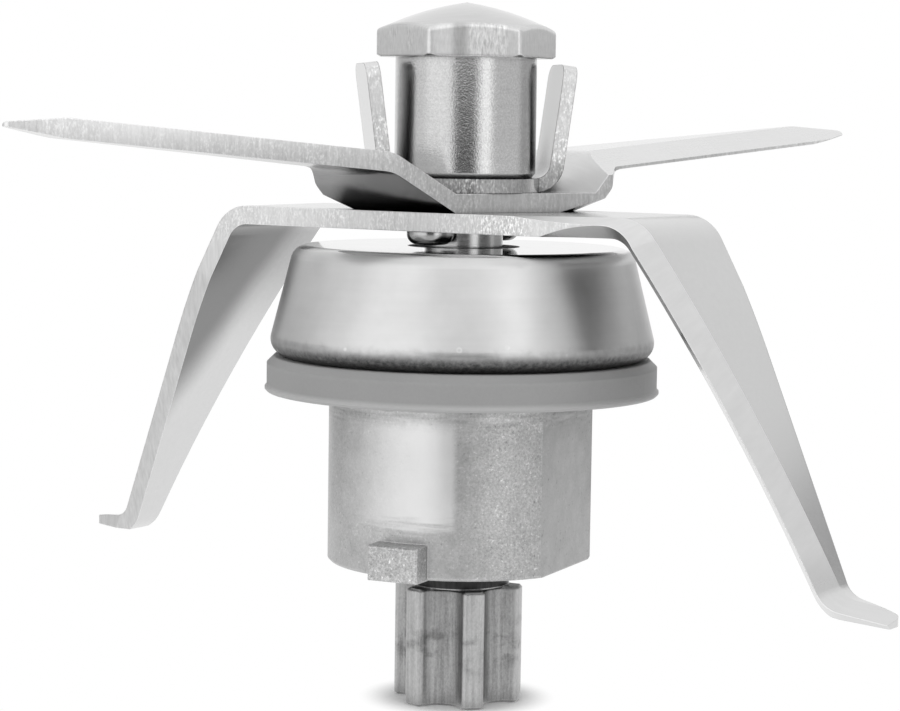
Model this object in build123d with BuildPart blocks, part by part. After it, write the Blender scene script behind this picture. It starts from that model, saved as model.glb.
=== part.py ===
from build123d import *
from math import acos, asin, atan, cos, degrees, radians, sin, tan
import os

os.makedirs("parts", exist_ok=True)

# Heights above the lower face of the driver
DRIVER_H = 15.1
HOUSING_BASE = 18.1
RING_BASE = 39.9
DOME_TOP = 58.5
BLADE_GAP = 2.2

# Sheet thicknesses
SHEET = 2.4
TAB_SHEET = 1.8
DOME_SHEET = 1.0

# Bearing housing and its bayonet
HOUSING_R = 17.0
FLAT_DIST = 14.85
LUG_W = 6.7
LUG_REACH = 2.9
LUG_H = 4.4
FLANGE_R = 22.2
FLANGE_H = 3.05
TOP_R = 17.5

# Dome and seal ring
DOME_HOLE_R = 7.2
DOME_SHOULDER_R = 21.6
DOME_FOOT_R = 25.17
DOME_FILLET = 2.2
DOME_RIM_R = 20.6
DOME_H = 14.15
RING_R = 25.0
RING_EDGE = 0.9
RING_LIP = 0.25

# Ball bearings, ten millimetre bore
BORE_R = 5.0
RACE_R = 13.0
RACE_H = 8.0
RACE_LAND = 1.65
BALL_R = 2.381
BALLS = 7
CAGE_T = 1.4
CAGE_H = 5.5
SHIELD_T = 0.35

# Shaft
END_R = 4.0
DRIVE_FLAT = 6.4
THREAD_TOP = 80.0
SHAFT_FOOT = 1.0

# Retaining rings, cord ring and shaft seal
CLIP_T = 1.0
CLIP_IN = 0.4
CLIP_OUT = 0.5
CORD_R = 0.75
CORD_AT = 15.0
GARTER_R = 0.5
LIP_T = 1.6
LIP_REACH = 4.4
LIP_BACK = 2.0
CASE_T = 1.0
SEAL_R = 12.0
SEAL_H = 6.5
SHOULDER_W = 3.5
PRELOAD_H = 0.8

# Clearances
PRESS = 0.01
RUN = 0.05
EASE = 0.1

# Cap nut
NUT_R = 9.0
NUT_SKIRT = 15.1
HEX_AF = 20.0
HEX_CORNER_R = 11.45
HEX_ROUND = 0.8
HEX_SOFT = 0.6
HEX_EDGE = 3.45
NUT_PEAK = 7.0
NUT_CROWN = 6.15
NUT_CROWN_R = 5.0
NUT_ROUND = 36.0
NUT_ANGLE = 30.5

# Tab plate
TAB_ANGLE = 37.0
TAB_W = 7.8
TAB_DISC_R = 9.6
TAB_FOOT = 11.6
TAB_LEAN = 7.6
TAB_BEND = 3.8
TAB_DROP = 0.9

# Upper blade
UPPER_ANGLE = 57.5
UPPER_TIP = 64.2
UPPER_HUB_W = 9.2
UPPER_CORNER = 16.6
UPPER_HEEL = (18.6, -7.0)
UPPER_TOE = (59.0, -1.9)
UPPER_KNEE = 17.3
UPPER_RISE = 5.2
UPPER_CLIMB = 5.2
UPPER_BEND = 4.0
UPPER_BEVEL = 5.0
UPPER_POINT = 8.0
UPPER_RUNOUT = (8.5, -9.2)
UPPER_RUNOUT_FALL = (0.247, 0.339)
UPPER_ROUNDS = (0.8, 0.8, 10.0, 0.8, 12.0, 30.0, 0.8)
UPPER_LOW_FOLD = ((6.53, 11.0), (14.67, -11.0))
UPPER_HIGH_FOLD = ((15.97, 11.0), (18.79, -11.0))

# Lower blade
LOWER_ANGLE = -8.1
LOWER_TIP = 61.2
LOWER_HUB_W = 11.5
LOWER_RUNOUT_R = 10.0
LOWER_KNEE = 29.35
LOWER_ANKLE = 53.55
LOWER_LEG = 44.2
FOOT_DROP = 0.9
LOWER_BEND = 5.5
ANKLE_BEND = 3.0
LOWER_BEVEL = 5.0
TOE_T = 1.4
LEG_EDGE_W = 3.8
LEG_EDGE_R = 155.0
LEG_BLUNT_W = 2.4
LEG_TAPER = 12.4
LEG_TAPER_R = 70.0
GRIND_OUT = 0.75
GRIND_IN_W = 2.5
EDGE_T = 0.4

# Driver
TOOTH_R = 8.3
TOOTH_ROUND = 0.7
TEETH = 6
TOOTH_ANGLE = 9.2
VALLEY_R = 3.0
VALLEY_AT = 8.9
NECK_R = 6.5

# Rivets through the two blades
RIVET_ANGLE = -96.5
RIVET_AT = 8.15
RIVET_R = 1.4
RIVET_HEAD_R = 2.95
RIVET_HEAD_H = 1.7
RIVET_ROUND = 1.3

# Levels that follow from the stack
LOWER_BASE = DOME_TOP + BLADE_GAP
UPPER_BASE = LOWER_BASE + SHEET
TAB_BASE = UPPER_BASE + SHEET
NUT_BASE = TAB_BASE + TAB_SHEET
HEX_BASE = NUT_BASE + NUT_SKIRT
RIM_BASE = DOME_TOP - DOME_H
FLANGE_BASE = RIM_BASE + DOME_SHEET
HOUSING_TOP = DOME_TOP - DOME_SHEET
LOWER_RACE = HOUSING_BASE + 2.7
UPPER_RACE = 39.4
SHOULDER_R = RACE_R - SHOULDER_W
SHOULDER = UPPER_RACE + RACE_H + PRELOAD_H
SEAL_FLOOR = SHOULDER + 2.0
PITCH_R = (BORE_R + RACE_R) / 2
INNER_RACE_R = PITCH_R - RACE_LAND
OUTER_RACE_R = PITCH_R + RACE_LAND


def heading(angle):
    """Level direction at an angle about the shaft axis."""
    return (cos(radians(angle)), sin(radians(angle)), 0)


def level(height, angle=0.0):
    """Level plane whose local X lies at the given angle."""
    return Plane(origin=(0, 0, height), x_dir=heading(angle), z_dir=(0, 0, 1))


def upright(angle):
    """Upright plane through the axis, local X at the angle and local Y up."""
    return Plane(origin=(0, 0, 0), x_dir=heading(angle), z_dir=heading(angle - 90))


def both_ways(points):
    """Outline points followed by the same points half a turn round."""
    return points + [(-x, -y) for x, y in points]


# Cap nut: hexagon under a crowned cone, on a turned skirt
with BuildPart() as cap_nut:
    with BuildSketch(level(HEX_BASE, NUT_ANGLE)) as hexagon:
        RegularPolygon(HEX_AF / 2, 6, major_radius=False)
        fillet(hexagon.vertices(), radius=HEX_ROUND)
    extrude(amount=NUT_PEAK)
    with BuildSketch(Plane.XZ):
        with BuildLine():
            Polyline(
                (0, HEX_BASE + NUT_PEAK),
                (0, HEX_BASE),
                (HEX_CORNER_R - 0.5, HEX_BASE),
                (HEX_CORNER_R, HEX_BASE + 0.3),
                (HEX_CORNER_R, HEX_BASE + HEX_EDGE),
            )
            FilletPolyline(
                (HEX_CORNER_R, HEX_BASE + HEX_EDGE),
                (NUT_CROWN_R, HEX_BASE + NUT_CROWN),
                (0, HEX_BASE + NUT_PEAK),
                radius=NUT_ROUND,
            )
        make_face()
    revolve(axis=Axis.Z, mode=Mode.INTERSECT)
    brow = HEX_BASE + HEX_EDGE
    brows = cap_nut.edges().filter_by(lambda e: brow - 0.3 < e.center().Z < brow + HEX_SOFT + 0.3)
    fillet(brows, radius=HEX_SOFT)
    with BuildSketch(Plane.XZ):
        with BuildLine():
            Polyline(
                (0, NUT_BASE),
                (NUT_R - 0.5, NUT_BASE),
                (NUT_R, NUT_BASE + 0.6),
                (NUT_R, HEX_BASE),
                (0, HEX_BASE),
                close=True,
            )
        make_face()
    revolve(axis=Axis.Z)
    with BuildSketch(level(NUT_BASE)):
        Circle(END_R + RUN)
    extrude(amount=THREAD_TOP + 1.5 - NUT_BASE, mode=Mode.SUBTRACT)
cap_nut.part.label = "cap_nut"
export_step(cap_nut.part, "parts/cap_nut.step")

# Tab plate: round base with two tabs folded up beside the nut
tab_top = HEX_BASE - TAB_DROP
tab_out = TAB_FOOT + (tab_top - TAB_BASE) * tan(radians(TAB_LEAN))
with BuildPart() as tab_plate:
    with BuildSketch(upright(TAB_ANGLE)):
        with BuildLine():
            FilletPolyline(
                (-tab_out, tab_top),
                (-TAB_FOOT, TAB_BASE),
                (TAB_FOOT, TAB_BASE),
                (tab_out, tab_top),
                radius=TAB_BEND,
            )
            offset(amount=TAB_SHEET, side=Side.LEFT)
        make_face()
    extrude(amount=TAB_W / 2, both=True)
    tab_way = Vector(*heading(TAB_ANGLE))
    high = tab_plate.edges().filter_by(lambda e: e.length < 2.5 and e.center().Z > tab_top - 0.6)
    corners = high.filter_by(lambda e: abs(e.tangent_at(0.5).dot(tab_way)) > 0.5)
    fillet(corners, radius=1.8)
    with BuildSketch(level(TAB_BASE)):
        Circle(TAB_DISC_R)
    extrude(amount=TAB_SHEET)
    with BuildSketch(level(TAB_BASE, TAB_ANGLE)):
        Circle(END_R + RUN)
        Rectangle(2 * TAB_DISC_R, DRIVE_FLAT + 2 * RUN, mode=Mode.INTERSECT)
    extrude(amount=TAB_SHEET, mode=Mode.SUBTRACT)
tab_plate.part.label = "tab_plate"
export_step(tab_plate.part, "parts/tab_plate.step")

# Upper blade: flat hub, pressed risers and two arms climbing to the tips
upper_slope = tan(radians(UPPER_CLIMB))
arm_z = UPPER_BASE + UPPER_RISE


def upper_point(s, w, turn):
    """Plan position of a point given along and across the upper blade."""
    way = heading(UPPER_ANGLE + turn)
    return (s * way[0] - w * way[1], s * way[1] + w * way[0])


def arm_floor(s):
    """Height of the arm's underside at a distance along the blade."""
    return arm_z + (s - UPPER_KNEE) * upper_slope


def fold_section(line, turn):
    """Upright plane along a fold line, and how far the line runs."""
    a = upper_point(line[0][0], line[0][1], turn)
    b = upper_point(line[1][0], line[1][1], turn)
    run = ((b[0] - a[0]) ** 2 + (b[1] - a[1]) ** 2) ** 0.5
    way = ((b[0] - a[0]) / run, (b[1] - a[1]) / run, 0)
    return Plane(origin=(a[0], a[1], 0), x_dir=way, z_dir=(way[1], -way[0], 0)), run


upper_half = [
    (UPPER_CORNER, -UPPER_HUB_W),
    UPPER_HEEL,
    UPPER_TOE,
    (UPPER_TIP, 0.0),
    (60.0, 2.1),
    (53.0, 3.8),
    (15.0, UPPER_HUB_W),
]
arm_end = ((UPPER_TIP + 4, 11.0), (UPPER_TIP + 4, -11.0))
upper_edge_angle = degrees(atan((UPPER_TOE[1] - UPPER_HEEL[1]) / (UPPER_TOE[0] - UPPER_HEEL[0])))
upper_fall = (SHEET - EDGE_T) / UPPER_BEVEL
with BuildPart() as upper_blade:
    with BuildSketch(level(UPPER_BASE, UPPER_ANGLE)):
        with BuildLine():
            Polyline(*both_ways([UPPER_LOW_FOLD[1], UPPER_LOW_FOLD[0]]), close=True)
        make_face()
    extrude(amount=SHEET)
    for turn in (0, 180):
        for line in (UPPER_LOW_FOLD, UPPER_HIGH_FOLD, arm_end):
            section, run = fold_section(line, turn)
            za = UPPER_BASE if line is UPPER_LOW_FOLD else arm_floor(line[0][0])
            zb = UPPER_BASE if line is UPPER_LOW_FOLD else arm_floor(line[1][0])
            with BuildSketch(section):
                with BuildLine():
                    Polyline((0, za), (run, zb), (run, zb + SHEET), (0, za + SHEET), close=True)
                make_face()
        loft(ruled=True)
    with BuildSketch(level(UPPER_BASE - 5, UPPER_ANGLE)):
        with BuildLine():
            FilletPolyline(*both_ways(upper_half), radius=UPPER_ROUNDS + UPPER_ROUNDS, close=True)
        make_face()
    extrude(amount=40, mode=Mode.INTERSECT)
    high = upper_blade.edges().filter_by(lambda e: e.length > 14 and e.center().Z > UPPER_BASE + 4)
    folds = high.filter_by(lambda e: Vector(e.center().X, e.center().Y).length < UPPER_KNEE + 2.7)
    fillet(folds, radius=UPPER_BEND)
    # Ground bevel on the leading edge of each arm, and a thinned tip
    for turn in (0, 180):
        start = (UPPER_HEEL[0] - 8.0, UPPER_HEEL[1] - 8.0 * tan(radians(upper_edge_angle)))
        foot = upper_point(start[0], start[1], turn)
        edge_way = heading(UPPER_ANGLE + upper_edge_angle + turn)
        across = heading(UPPER_ANGLE + upper_edge_angle + turn + 90)
        along = (edge_way[0], edge_way[1], upper_slope)
        with BuildSketch(Plane(origin=(foot[0], foot[1], arm_floor(start[0])), x_dir=across, z_dir=along)):
            with BuildLine():
                Polyline(
                    (-3, EDGE_T - 3 * upper_fall),
                    (UPPER_BEVEL + 3, SHEET + 3 * upper_fall),
                    (-3, SHEET + 3 * upper_fall),
                    close=True,
                )
            make_face()
        extrude(amount=UPPER_TIP, mode=Mode.SUBTRACT)
        # Grind run-out under the hub corner ahead of the riser
        corner = upper_point(*UPPER_RUNOUT, turn)
        slant = upper_point(-UPPER_RUNOUT_FALL[0], UPPER_RUNOUT_FALL[1], turn)
        runout = Plane(
            origin=(corner[0], corner[1], UPPER_BASE),
            x_dir=(-slant[1], slant[0], 0),
            z_dir=(slant[0], slant[1], 1),
        )
        with BuildSketch(runout):
            Rectangle(30, 30)
        extrude(amount=-6, mode=Mode.SUBTRACT)
        tip_z = arm_floor(UPPER_TIP) + SHEET / 2
        root = UPPER_TIP - UPPER_POINT
        with BuildSketch(upright(UPPER_ANGLE + turn)):
            for up in (1, -1):
                with BuildLine():
                    Polyline(
                        (root, tip_z - UPPER_POINT * upper_slope + up * SHEET / 2),
                        (UPPER_TIP + 1, tip_z - 0.2),
                        (UPPER_TIP + 1, tip_z + up * 4),
                        (root, tip_z + up * 4),
                        close=True,
                    )
                make_face()
        extrude(amount=8, both=True, mode=Mode.SUBTRACT)
    with BuildSketch(level(UPPER_BASE, TAB_ANGLE)):
        Circle(END_R + RUN)
        Rectangle(2 * TAB_DISC_R, DRIVE_FLAT + 2 * RUN, mode=Mode.INTERSECT)
    extrude(amount=2 * SHEET, mode=Mode.SUBTRACT)
    with BuildSketch(level(UPPER_BASE, RIVET_ANGLE)):
        with PolarLocations(RIVET_AT, 2):
            Circle(RIVET_R + PRESS)
    extrude(amount=2 * SHEET, mode=Mode.SUBTRACT)
upper_blade.part.label = "upper_blade"
export_step(upper_blade.part, "parts/upper_blade.step")

# Lower blade: wide hub with two legs folded down to flared feet
ankle_z = UPPER_BASE - LOWER_LEG
foot_z = ankle_z - FOOT_DROP
foot_slope = (ankle_z - foot_z) / (LOWER_TIP - LOWER_ANKLE)
leg_lean = degrees(atan((LOWER_ANKLE - LOWER_KNEE) / LOWER_LEG))
foot_lean = degrees(atan(foot_slope))
ankle_turn = 90 - leg_lean - foot_lean
knee_run = LOWER_BEND * tan(radians(45 - leg_lean / 2))
ankle_run = ANKLE_BEND * tan(radians(ankle_turn / 2))
leg_run = (LOWER_LEG**2 + (LOWER_ANKLE - LOWER_KNEE) ** 2) ** 0.5
edge_sweep = degrees(asin((leg_run - ankle_run - knee_run) / LEG_EDGE_R))
edge_w = LEG_EDGE_W + LEG_EDGE_R * (1 - cos(radians(edge_sweep))) - RUN
wheel_reach = (LOWER_RUNOUT_R + edge_w - LOWER_HUB_W) / (LOWER_RUNOUT_R + 2 * LOWER_BEVEL)
runout_sweep = degrees(acos(wheel_reach))
lower_half = [
    (15.0, -LOWER_HUB_W),
    (24.0, -edge_w),
    (LOWER_TIP - 0.4, -edge_w),
    (LOWER_TIP, 0.0),
    (LOWER_ANKLE + 1.0, 2.9),
    (LOWER_ANKLE - 0.8, 3.5),
    (LOWER_ANKLE - 3.55, 5.2),
    (LOWER_ANKLE - 7.55, LOWER_HUB_W),
]
# Section of the ground edge, across the sheet from its outer face
lower_grind = [
    (-15, 1.0),
    (LOWER_BEVEL * (1 + 1.0 / GRIND_OUT), 1.0),
    (0, -GRIND_OUT),
    (GRIND_IN_W * 2, 2 * (GRIND_OUT - SHEET) - GRIND_OUT),
    (-15, 2 * (GRIND_OUT - SHEET) - GRIND_OUT),
]
with BuildPart() as lower_blade:
    with BuildSketch(upright(LOWER_ANGLE)):
        with BuildLine():
            FilletPolyline(
                (-LOWER_TIP - 4, foot_z - 4 * foot_slope),
                (-LOWER_ANKLE, ankle_z),
                (-LOWER_KNEE, UPPER_BASE),
                (LOWER_KNEE, UPPER_BASE),
                (LOWER_ANKLE, ankle_z),
                (LOWER_TIP + 4, foot_z - 4 * foot_slope),
                radius=(ANKLE_BEND, LOWER_BEND, LOWER_BEND, ANKLE_BEND),
            )
            offset(amount=SHEET, side=Side.RIGHT)
        make_face()
    extrude(amount=LOWER_HUB_W, both=True)
    with BuildSketch(level(0, LOWER_ANGLE)):
        with BuildLine():
            FilletPolyline(*both_ways(lower_half), radius=1.5, close=True)
        make_face()
    extrude(amount=UPPER_BASE + 5, mode=Mode.INTERSECT)
    for turn in (0, 180):
        out = heading(LOWER_ANGLE + turn)
        side = heading(LOWER_ANGLE + turn + 90)
        lean = radians(leg_lean)
        face_way = (out[0] * cos(lean), out[1] * cos(lean), sin(lean))
        knee = (LOWER_KNEE * out[0], LOWER_KNEE * out[1], UPPER_BASE)
        leg = Plane(origin=knee, x_dir=side, z_dir=face_way)
        # Blunt trailing edge tapers along the leg
        with BuildSketch(leg.offset(-SHEET - 1)):
            with BuildLine():
                FilletPolyline(
                    (LOWER_HUB_W + 0.5, 0),
                    (LOWER_HUB_W, -LEG_TAPER),
                    (LEG_BLUNT_W, -leg_run - 3),
                    radius=LEG_TAPER_R,
                )
                Polyline(
                    (LEG_BLUNT_W, -leg_run - 3),
                    (LOWER_HUB_W + 4, -leg_run - 3),
                    (LOWER_HUB_W + 4, 0),
                    (LOWER_HUB_W + 0.5, 0),
                )
            make_face()
        extrude(amount=SHEET + 2, mode=Mode.SUBTRACT)
        # Leading edge ground from both faces, running out round the wheel on the hub
        inward = -edge_w * Vector(*side)
        wheel_side = -LOWER_RUNOUT_R * Vector(*side)
        wheel_at = (LOWER_KNEE - knee_run) * Vector(*out) + inward + wheel_side + Vector(0, 0, UPPER_BASE)
        with BuildSketch(Plane(origin=wheel_at, x_dir=side, z_dir=out)):
            with BuildLine():
                Polyline(*[(max(LOWER_RUNOUT_R + x, EASE), y) for x, y in lower_grind], close=True)
            make_face()
        revolve(axis=Axis(wheel_at, (0, 0, 1)), revolution_arc=runout_sweep, mode=Mode.SUBTRACT)
        # Round the knee
        knee_at = (LOWER_KNEE - knee_run) * Vector(*out) + inward + Vector(0, 0, UPPER_BASE - LOWER_BEND)
        with BuildSketch(Plane(origin=knee_at, x_dir=side, z_dir=out)):
            with BuildLine():
                Polyline(*[(x, y + LOWER_BEND) for x, y in lower_grind], close=True)
            make_face()
        revolve(axis=Axis(knee_at, side), revolution_arc=90 - leg_lean, mode=Mode.SUBTRACT)
        # Along an arc down the leg
        arc_at = leg.from_local_coords(Vector(-LEG_EDGE_W - LEG_EDGE_R, ankle_run - leg_run, 0))
        with BuildSketch(Plane(origin=arc_at, x_dir=side, z_dir=-leg.y_dir)):
            with BuildLine():
                Polyline(*[(LEG_EDGE_R + x, y) for x, y in lower_grind], close=True)
            make_face()
        revolve(axis=Axis(arc_at, leg.z_dir), revolution_arc=edge_sweep, mode=Mode.SUBTRACT)
        # Round the ankle
        ankle_at = leg.from_local_coords(Vector(-LEG_EDGE_W, ankle_run - leg_run, ANKLE_BEND))
        with BuildSketch(Plane(origin=ankle_at, x_dir=side, z_dir=-leg.y_dir)):
            with BuildLine():
                Polyline(*[(x, y - ANKLE_BEND) for x, y in lower_grind], close=True)
            make_face()
        revolve(axis=Axis(ankle_at, -leg.x_dir), revolution_arc=ankle_turn, mode=Mode.SUBTRACT)
        # And along the foot
        foot_way = Vector(*out) * cos(radians(foot_lean)) - Vector(0, 0, sin(radians(foot_lean)))
        foot_at = LOWER_ANKLE * Vector(*out) - LEG_EDGE_W * Vector(*side) + Vector(0, 0, ankle_z)
        with BuildSketch(Plane(origin=foot_at + ankle_run * foot_way, x_dir=side, z_dir=foot_way)):
            with BuildLine():
                Polyline(*lower_grind, close=True)
            make_face()
        extrude(amount=LOWER_TIP - LOWER_ANKLE + 5, mode=Mode.SUBTRACT)
        # Foot ground thin from below
        with BuildSketch(upright(LOWER_ANGLE + turn)):
            with BuildLine():
                Polyline(
                    (LOWER_ANKLE - 6, foot_z - TOE_T + 0.5),
                    (LOWER_TIP + 2, foot_z - TOE_T),
                    (LOWER_TIP + 2, foot_z - 8),
                    (LOWER_ANKLE - 6, foot_z - 8),
                    close=True,
                )
            make_face()
        extrude(amount=LOWER_HUB_W, both=True, mode=Mode.SUBTRACT)
    with BuildSketch(level(LOWER_BASE, TAB_ANGLE)):
        Circle(END_R + RUN)
        Rectangle(2 * TAB_DISC_R, DRIVE_FLAT + 2 * RUN, mode=Mode.INTERSECT)
    extrude(amount=SHEET, mode=Mode.SUBTRACT)
    with BuildSketch(level(LOWER_BASE, RIVET_ANGLE)):
        with PolarLocations(RIVET_AT, 2):
            Circle(RIVET_R + PRESS)
    extrude(amount=SHEET, mode=Mode.SUBTRACT)
lower_blade.part.label = "lower_blade"
export_step(lower_blade.part, "parts/lower_blade.step")

# Rivets that pin the two blades together, round heads below
with BuildPart() as blade_rivets:
    with BuildSketch(level(LOWER_BASE - RIVET_HEAD_H, RIVET_ANGLE)):
        with PolarLocations(RIVET_AT, 2):
            Circle(RIVET_HEAD_R)
    extrude(amount=RIVET_HEAD_H)
    fillet(blade_rivets.edges().group_by(Axis.Z)[0], radius=RIVET_ROUND)
    with BuildSketch(level(LOWER_BASE, RIVET_ANGLE)):
        with PolarLocations(RIVET_AT, 2):
            Circle(RIVET_R)
    extrude(amount=2 * SHEET)
blade_rivets.part.label = "blade_rivets"
export_step(blade_rivets.part, "parts/blade_rivets.step")

# Shaft: bearing journal, drive flats above, driver seat below
clip_z = UPPER_RACE + RACE_H
with BuildPart() as shaft:
    with BuildSketch(level(LOWER_RACE)):
        Circle(BORE_R)
    extrude(amount=LOWER_BASE - LOWER_RACE)
    with BuildSketch(level(SHAFT_FOOT)):
        Circle(END_R)
    extrude(amount=LOWER_RACE - SHAFT_FOOT)
    with BuildSketch(level(LOWER_BASE, TAB_ANGLE)):
        Circle(END_R)
        Rectangle(2 * TAB_DISC_R, DRIVE_FLAT, mode=Mode.INTERSECT)
    extrude(amount=THREAD_TOP - LOWER_BASE)
    with BuildSketch(level(clip_z)):
        Circle(BORE_R)
        Circle(BORE_R - CLIP_IN, mode=Mode.SUBTRACT)
    extrude(amount=CLIP_T + EASE, mode=Mode.SUBTRACT)
    chamfer(shaft.edges().group_by(Axis.Z)[0], length=0.6)
shaft.part.label = "shaft"
export_step(shaft.part, "parts/shaft.step")

# Driver: six round-sided teeth below a plain neck
with BuildPart() as driver:
    with BuildSketch(level(0, TOOTH_ANGLE)) as teeth:
        Circle(TOOTH_R)
        with PolarLocations(VALLEY_AT, TEETH, start_angle=180 / TEETH):
            Circle(VALLEY_R, mode=Mode.SUBTRACT)
        fillet(teeth.vertices(), radius=TOOTH_ROUND)
    extrude(amount=DRIVER_H)
    rims = driver.edges().filter_by(lambda e: abs(e.tangent_at(0.5).Z) < 0.1)
    chamfer(rims, length=0.3)
    with BuildSketch(level(DRIVER_H)):
        Circle(NECK_R)
    extrude(amount=LOWER_RACE - DRIVER_H)
    with BuildSketch(level(0)):
        Circle(END_R + PRESS)
    extrude(amount=LOWER_RACE, mode=Mode.SUBTRACT)
driver.part.label = "driver"
export_step(driver.part, "parts/driver.step")

# Bearing housing: barrel with flats and bayonet lugs, flange and stepped bore
with BuildPart() as housing:
    with BuildSketch(Plane.XZ):
        with BuildLine():
            Polyline(
                (RACE_R, HOUSING_BASE),
                (HOUSING_R - 0.3, HOUSING_BASE),
                (HOUSING_R, HOUSING_BASE + 0.3),
                (HOUSING_R, FLANGE_BASE),
                (FLANGE_R, FLANGE_BASE),
                (FLANGE_R, FLANGE_BASE + FLANGE_H),
                (TOP_R, FLANGE_BASE + FLANGE_H),
                (TOP_R, HOUSING_TOP),
                (SEAL_R, HOUSING_TOP),
                (SEAL_R, SEAL_FLOOR),
                (SHOULDER_R, SEAL_FLOOR),
                (SHOULDER_R, SHOULDER),
                (RACE_R, SHOULDER),
                close=True,
            )
        make_face()
    revolve(axis=Axis.Z)
    with BuildSketch(level(HOUSING_BASE)):
        with Locations((FLAT_DIST + 5, 0), (-FLAT_DIST - 5, 0)):
            Rectangle(10, 2 * HOUSING_R)
    extrude(amount=RING_BASE - 0.4 - HOUSING_BASE, mode=Mode.SUBTRACT)
    with BuildSketch(level(HOUSING_BASE)):
        Rectangle(LUG_W, 2 * (HOUSING_R + LUG_REACH))
        Circle(HOUSING_R - 1.5, mode=Mode.SUBTRACT)
    extrude(amount=LUG_H)
    lug_edges = housing.edges().filter_by(
        lambda e: abs(e.center().Y) > HOUSING_R + LUG_REACH - 0.1 and e.length > 3
    )
    chamfer(lug_edges, length=0.25)
    with BuildSketch(level(LOWER_RACE - CLIP_T - EASE)):
        Circle(RACE_R + CLIP_OUT + EASE)
    extrude(amount=CLIP_T + EASE, mode=Mode.SUBTRACT)
    with BuildSketch(level(HOUSING_TOP - 2 * CORD_R)):
        Circle(CORD_AT + CORD_R + EASE)
        Circle(CORD_AT - CORD_R - EASE, mode=Mode.SUBTRACT)
    extrude(amount=2 * CORD_R, mode=Mode.SUBTRACT)
housing.part.label = "housing"
export_step(housing.part, "parts/housing.step")

# Dome: spun shell with its rim rolled in under the flange
with BuildPart() as dome:
    with BuildSketch(Plane.XZ):
        with BuildLine():
            FilletPolyline(
                (DOME_HOLE_R, DOME_TOP),
                (DOME_SHOULDER_R, DOME_TOP),
                (DOME_FOOT_R, RIM_BASE),
                (DOME_RIM_R, RIM_BASE),
                radius=DOME_FILLET,
            )
            offset(amount=DOME_SHEET, side=Side.RIGHT)
        make_face()
    revolve(axis=Axis.Z)
dome.part.label = "dome"
export_step(dome.part, "parts/dome.step")

# Seal ring under the dome rim
with BuildPart() as seal_ring:
    with BuildSketch(Plane.XZ):
        with BuildLine():
            Polyline(
                (HOUSING_R + RUN, RING_BASE),
                (RING_R, RING_BASE),
                (RING_R + RING_LIP, RING_BASE + RING_LIP),
                (RING_R + RING_LIP, RING_BASE + 2 * RING_LIP),
                (RING_R, RING_BASE + 3 * RING_LIP),
                (RING_R, RIM_BASE - RING_EDGE),
                (RING_R - RING_EDGE, RIM_BASE),
                (HOUSING_R + RUN, RIM_BASE),
                close=True,
            )
        make_face()
    revolve(axis=Axis.Z)
seal_ring.part.label = "seal_ring"
export_step(seal_ring.part, "parts/seal_ring.step")

# Round cord ring between the housing top and the dome
with BuildPart() as dome_o_ring:
    with BuildSketch(Plane.XZ):
        with Locations((CORD_AT, HOUSING_TOP - CORD_R)):
            Circle(CORD_R)
    revolve(axis=Axis.Z)
dome_o_ring.part.label = "dome_o_ring"
export_step(dome_o_ring.part, "parts/dome_o_ring.step")

# Rotary shaft seal: pressed case, rubber lip and garter spring
seal_top = SEAL_FLOOR + SEAL_H
with BuildPart() as shaft_seal_case:
    with BuildSketch(Plane.XZ):
        with BuildLine():
            Polyline(
                (SEAL_R - PRESS, SEAL_FLOOR),
                (SEAL_R - PRESS, seal_top),
                (DOME_HOLE_R + 0.3, seal_top),
                (DOME_HOLE_R + 0.3, seal_top - CASE_T),
                (SEAL_R - CASE_T, seal_top - CASE_T),
                (SEAL_R - CASE_T, SEAL_FLOOR),
                close=True,
            )
        make_face()
    revolve(axis=Axis.Z)
shaft_seal_case.part.label = "shaft_seal_case"
export_step(shaft_seal_case.part, "parts/shaft_seal_case.step")

lip_top = seal_top - CASE_T
lip_out = SEAL_R - CASE_T - EASE
with BuildPart() as shaft_seal_lip:
    with BuildSketch(Plane.XZ):
        with BuildLine():
            Polyline(
                (lip_out, lip_top),
                (BORE_R + LIP_BACK * 0.6, lip_top),
                (BORE_R + RUN, lip_top - LIP_REACH * 0.5),
                (BORE_R + RUN, lip_top - LIP_REACH * 0.59),
                (BORE_R + LIP_BACK * 0.45, lip_top - LIP_REACH),
                (BORE_R + LIP_BACK, lip_top - LIP_REACH),
                (BORE_R + LIP_BACK, lip_top - LIP_T),
                (lip_out, lip_top - LIP_T),
                close=True,
            )
        make_face()
    revolve(axis=Axis.Z)
shaft_seal_lip.part.label = "shaft_seal_lip"
export_step(shaft_seal_lip.part, "parts/shaft_seal_lip.step")

with BuildPart() as seal_garter_spring:
    with BuildSketch(Plane.XZ):
        with Locations((BORE_R + LIP_BACK + GARTER_R, lip_top - LIP_REACH * 0.73)):
            Circle(GARTER_R)
    revolve(axis=Axis.Z)
seal_garter_spring.part.label = "seal_garter_spring"
export_step(seal_garter_spring.part, "parts/seal_garter_spring.step")

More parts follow.
